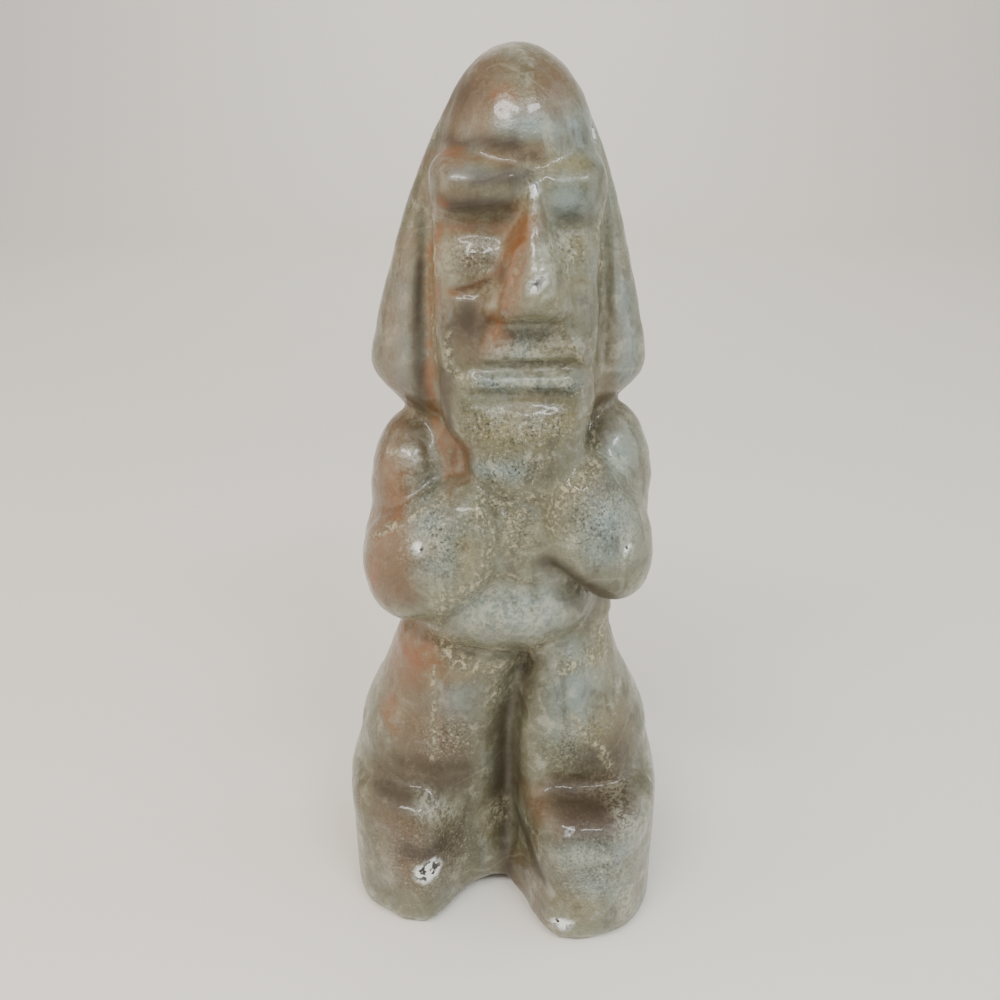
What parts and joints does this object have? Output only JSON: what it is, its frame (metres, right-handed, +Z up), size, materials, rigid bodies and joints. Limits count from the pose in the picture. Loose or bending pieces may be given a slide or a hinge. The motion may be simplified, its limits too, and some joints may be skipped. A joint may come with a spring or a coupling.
{
  "type": "stone warrior figurine",
  "caption": "Standing warrior figurine carved from one block of polished grey-green stone: pointed hood with side flaps, forearms folded on the chest, blocky feet.",
  "frame": {"origin": "on the ground, under the middle of the figure's bounding box", "axes": "+Z up along the figure, -Y the way it faces, +X the figure's left hand side"},
  "size_m": [0.0698, 0.0486, 0.1796],
  "materials": {
    "greenstone": "waxy polished grey-green stone with iron-brown stain and cream crust in the grooves"
  },
  "bodies": {
    "root": {"stone_figure": "greenstone"}
  },
  "joints": []
}
